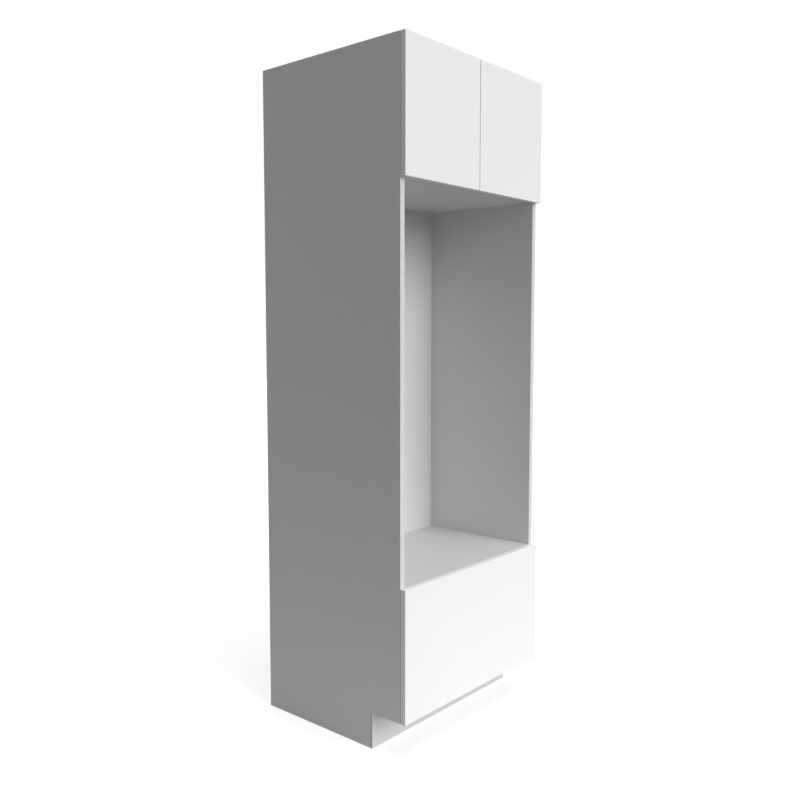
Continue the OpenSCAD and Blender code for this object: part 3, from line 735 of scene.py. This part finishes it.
def addSideScrews(settings):
    ahead = Vector((0, -settings["ahead"], 0))
    places = []
    for centre, way, (_, clampDepth, *_) in turnedSolids("hinge_arm_screws"):
        places.append((centre + ahead - way * (clampDepth - settings["headDepth"]), way))
    model = modelScrew(settings["headRadius"], settings["headDepth"],
                       settings["shankRadius"], settings["length"])
    screws = setCopies(model, "hingeSideScrews", places)
    dress(screws, nickelFinish)
    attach(screws, "carcass")


addSideScrews(sideScrewSettings)
print("hinge side screws modelled")


bumperSettings = {
    "sides": 32,
    "dome": 0.8,  # of its thickness
    "steps": 5,
    "smoothTurn": 40,
}


def replaceBumpers(node, settings):
    solids = turnedSolids(node)
    radius, *_, depth = solids[0][2]
    model = addCylinder(settings["sides"], radius, depth, (0, 0, -depth / 2))
    pickEdges(model, lambda a, b: near(a.z, 0) and near(b.z, 0))
    bevelPicked(depth * settings["dome"], settings["steps"])
    closeEdit()
    smoothByAngle(model, settings["smoothTurn"])
    places = [(centre, way) for centre, way, sizes in solids]
    standFor(node, setCopies(model, nameOf(node), places))


for node in nodesOf["bumper"]:
    replaceBumpers(node, bumperSettings)
print("bumpers modelled")


roundSettings = {
    "steps": 2,
    "leastTurn": 40,  # degrees: edges of metal that turn by more are rounded
    "smoothTurn": 30,
    "metal": {  # radius of the edges, in metres
        "cam_locks": 0.0003, "hinge_plates": 0.0004, "hinge_arms": 0.0003,
        "left_hinge_cups": 0.00025, "left_outer_links": 0.00025, "left_inner_links": 0.00025,
        "right_hinge_cups": 0.00025, "right_outer_links": 0.00025,
        "right_inner_links": 0.00025,
    },
    "boards": {"box": 0.0005, "shelfCleat": 0.0008, "backCleat": 0.0008},
}


def roundCorners(piece, width):
    activate(piece)
    bevel = piece.modifiers.new("round", "BEVEL")
    bevel.width = width
    bevel.segments = roundSettings["steps"]
    bevel.limit_method = "ANGLE"
    bevel.angle_limit = math.radians(roundSettings["leastTurn"])
    bpy.ops.object.modifier_apply(modifier="round")


def replaceMetal(node, radius):
    piece = copyOfNode(node)
    roundCorners(piece, radius)
    smoothByAngle(piece, roundSettings["smoothTurn"])
    standFor(node, piece)


def replaceBoard(node, radius):
    # eases the edges along a board's outline and leaves its holes as they are
    low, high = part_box(node)

    def onOutline(a, b):
        outer = [near(a[i], b[i]) and (near(a[i], low[i]) or near(a[i], high[i]))
                 for i in range(3)]
        return sum(outer) > 1

    piece = copyOfNode(node)
    pickEdges(piece, onOutline)
    bevelPicked(radius, roundSettings["steps"])
    closeEdit()
    smoothByAngle(piece, roundSettings["smoothTurn"])
    standFor(node, piece)


for node, radius in roundSettings["metal"].items():
    replaceMetal(node, radius)
print("hinges and cam locks rounded")
for kind, radius in roundSettings["boards"].items():
    for node in nodesOf[kind]:
        replaceBoard(node, radius)
print("drawer box and cleats eased")


bandSettings = {"frontRadius": 0.0008, "carcassRadius": 0.0004, "steps": 3, "smoothTurn": 30}


def replaceBand(node, radius, wanted):
    piece = copyOfNode(node)
    pickEdges(piece, wanted)
    bevelPicked(radius, bandSettings["steps"])
    closeEdit()
    smoothByAngle(piece, bandSettings["smoothTurn"])
    standFor(node, piece)


def replaceFrontBand(node):
    # rounds the outer edges of a front's edging, all round its face and its back
    low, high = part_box(node)

    def onOutline(a, b):
        onX = near(a.x, b.x) and (near(a.x, low.x) or near(a.x, high.x))
        onZ = near(a.z, b.z) and (near(a.z, low.z) or near(a.z, high.z))
        onFace = near(a.y, b.y) and (near(a.y, low.y) or near(a.y, high.y))
        return (onX or onZ) and onFace or onX and onZ

    replaceBand(node, bandSettings["frontRadius"], onOutline)


def replaceCarcassBand(node):
    # rounds the long edges of the thin strips glued to the carcass's front
    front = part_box(node)[0].y
    replaceBand(node, bandSettings["carcassRadius"],
                lambda a, b: near(a.y, front) and near(b.y, front))


for node in nodesOf["frontBand"]:
    replaceFrontBand(node)
for node in nodesOf["carcassBand"]:
    replaceCarcassBand(node)
print("edge bands rounded")


slideSettings = {
    "rollRadius": 0.0005,  # of the folded edges
    "smoothTurn": 30,
    "slotWidth": 0.0044,
    "slotSides": 20,
    "slotSpread": 0.0035,  # how far a slot's half circles stand off its middle
    "slotReach": 3,  # length of the cutters, against the slides' distance from the middle
    "slots": {  # how far behind each member's front end they are, in mm
        "slide_cabinet_members": (64, 112, 176, 336, 400, 448),
        "slide_middle_members": (60, 272, 478),
        "slide_drawer_members": (72, 104, 168, 340, 410, 464),
    },
}


def modelSlot(settings, place, reach):
    # a cutter with round ends that goes through both slides' webs
    sideways = (0, math.radians(meshSettings["quarter"]), 0)
    cutter = addCylinder(
        settings["slotSides"], settings["slotWidth"] / 2, reach, place, sideways)
    for side in (-1, 1):
        pickCorners(
            cutter, lambda corner: (corner.y - place[1]) * side > meshSettings["near"])
        bpy.ops.transform.translate(value=(0, side * settings["slotSpread"], 0))
        closeEdit()
    return cutter


def replaceMembers(node, slots, settings):
    # rolls the folded edges of both slides' members and punches the slots in their webs
    low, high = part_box(node)
    piece = copyOfNode(node)
    roundCorners(piece, settings["rollRadius"])
    middle, reach = (low.z + high.z) / 2, high.x * settings["slotReach"]
    cutters = [modelSlot(settings, (0, low.y + slot / 1000, middle), reach)
               for slot in slots]
    cutAway(piece, joinAll(cutters, "slots"))
    smoothByAngle(piece, settings["smoothTurn"])
    standFor(node, piece)


for node, slots in slideSettings["slots"].items():
    replaceMembers(node, slots, slideSettings)
print("slide members rolled and punched")


leverSettings = {  # the lever that frees the drawer from its slide
    "fromFront": 0.205,  # metres behind the member's front end
    "length": 0.036, "height": 0.009, "thick": 0.0014,
    "corner": 0.0022, "cornerSteps": 4,
    "rim": 0.0012, "tray": 0.0004,
    "fingerLength": 0.009, "fingerShare": 0.55,
    "softEdge": 0.0002, "merge": 0.000002, "smoothTurn": 30,
    "fromBack": 0.0013,  # from the member's inner side to the lever's back
}


def modelLever(settings, side, place):
    # lies along the slide with its finger forwards and its tray towards the middle
    y, half = place[1], settings["length"] / 2
    lever = addBlock((settings["thick"], settings["length"], settings["height"]), place)
    pickEdges(lever, lambda a, b: near(a.y, b.y) and near(a.z, b.z) and a.y > y)
    bevelPicked(settings["corner"], settings["cornerSteps"])
    closeEdit()
    pickFaces(lever, lambda centre, normal: faces(normal, "y", -1))
    extrudePicked((0, 0, 0))
    bpy.ops.transform.resize(value=(1, 1, settings["fingerShare"]))
    extrudePicked((0, -settings["fingerLength"], 0))
    closeEdit()
    pickFaces(lever, lambda centre, normal: faces(normal, "x", side) and centre.y > y - half)
    bpy.ops.mesh.inset(thickness=settings["rim"])
    extrudePicked((-side * settings["tray"], 0, 0))
    closeEdit()
    roundCorners(lever, settings["softEdge"])
    pickAll(lever)
    bpy.ops.mesh.dissolve_degenerate(threshold=settings["merge"])
    bpy.ops.mesh.remove_doubles(threshold=settings["merge"])
    closeEdit()
    return lever


def addLevers(settings):
    low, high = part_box("slide_drawer_members")
    members = solidsOf("slide_drawer_members")
    inner = min(abs(corner.x) for member in members for corner in member)
    x = inner + settings["fromBack"] + settings["thick"] / 2
    y = low.y + settings["fromFront"] + settings["length"] / 2
    z = (low.z + high.z) / 2
    copies = [modelLever(settings, side, (side * x, y, z)) for side in (-1, 1)]
    levers = joinAll(copies, "slideReleaseLevers")
    smoothByAngle(levers, settings["smoothTurn"])
    dress(levers, leverFinish)
    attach(levers, "drawer")


addLevers(leverSettings)
print("release levers modelled")


stageSettings = {
    "floorSize": 30,
    # painted pool of light: for bounced light, the floor is pale near the object and dark far
    # off; to the camera it is pale everywhere
    "floorWhite": (0.55, 0.55, 0.55),
    "floorDull": (0.06, 0.06, 0.06),  # painted shade: far off, the floor is dark for bounced light so that it throws little light back
    "paintedLightPoolCentre": (0.0, -0.7, 0.0),
    "paintedLightPoolReach": (1.3, 1.3, 1.0),  # metres from there to where the painted pool of light is half way to the painted shade far off
    "floorLift": 0.62,  # added for the camera, so that the floor reads as white
    "worldFill": 0.218,
    "lights": {  # the way to each light, how many degrees it spreads over, its strength
        "frontLight": ((0.03, -0.92, 0.38), 42, 2.24),
        "overheadLight": ((0.0, -0.19, 0.98), 36, 1.15),
        "rearLight": ((0.55, 0.8, 0.3), 40, 1.1),
    },
}


def addFloor(settings):
    bpy.ops.mesh.primitive_plane_add(size=settings["floorSize"])
    floor = bpy.context.object
    floor.name = "floor"
    finish = Finish("paleFloor")
    off = finish.add("ShaderNodeVectorMath", {"operation": "SUBTRACT"},
                     [finish.place(), settings["paintedLightPoolCentre"]])
    share = finish.add("ShaderNodeVectorMath", {"operation": "DIVIDE"},
                       [off, settings["paintedLightPoolReach"]])
    reach = finish.add("ShaderNodeVectorMath", {"operation": "LENGTH"}, [share],
                       output="Value")
    # painted pool of light: for bounced light, the floor's colour fades from pale near the
    # object to painted shade far off; the camera and reflections see it pale everywhere
    far = (reach * 0.5).clamped()
    far = far * far * (3 - far * 2)  # eases in and out
    isCamera = finish.add("ShaderNodeLightPath", output="Is Camera Ray")
    isGlossy = finish.add("ShaderNodeLightPath", output="Is Glossy Ray")
    seen = isCamera.either(isGlossy)
    colour = finish.mix(far * (1 - seen), settings["floorWhite"], settings["floorDull"])
    finish.shade(baseColor=colour, roughness=1.0)
    glow = finish.add("ShaderNodeEmission", {}, {"Strength": seen * settings["floorLift"]})
    lit = Signal(finish, finish.shader.outputs[0])
    both = finish.add("ShaderNodeAddShader", {}, [lit, glow])
    finish.feed(finish.output.inputs["Surface"], both)
    floor.data.materials.append(finish.material)


def addWorld(settings):
    # fills with little light, but reads as white to the camera and in reflections
    world = bpy.data.worlds.new("paleRoom")
    world.use_nodes = True
    bpy.context.scene.world = world
    tree = world.node_tree
    background = tree.nodes["Background"]
    path = tree.nodes.new("ShaderNodeLightPath")
    seen = path.outputs["Is Camera Ray"]
    for ray in ("Is Glossy Ray", "Is Transmission Ray"):
        joined = tree.nodes.new("ShaderNodeMath")
        joined.operation = "MAXIMUM"
        tree.links.new(seen, joined.inputs[0])
        tree.links.new(path.outputs[ray], joined.inputs[1])
        seen = joined.outputs[0]
    level = tree.nodes.new("ShaderNodeMapRange")
    level.inputs["To Min"].default_value = settings["worldFill"]
    level.inputs["To Max"].default_value = 1.0
    tree.links.new(seen, level.inputs["Value"])
    tree.links.new(level.outputs["Result"], background.inputs["Strength"])
    background.inputs["Color"].default_value = (1, 1, 1, 1)


def addLight(name, way, spread, strength):
    data = bpy.data.lights.new(name, "SUN")
    data.angle = math.radians(spread)
    data.energy = strength
    lamp = bpy.data.objects.new(name, data)
    lamp.rotation_euler = Vector(way).to_track_quat("Z", "Y").to_euler()
    bpy.context.scene.collection.objects.link(lamp)


addFloor(stageSettings)
addWorld(stageSettings)
for name, (way, spread, strength) in stageSettings["lights"].items():
    addLight(name, way, spread, strength)
print("stage lit")
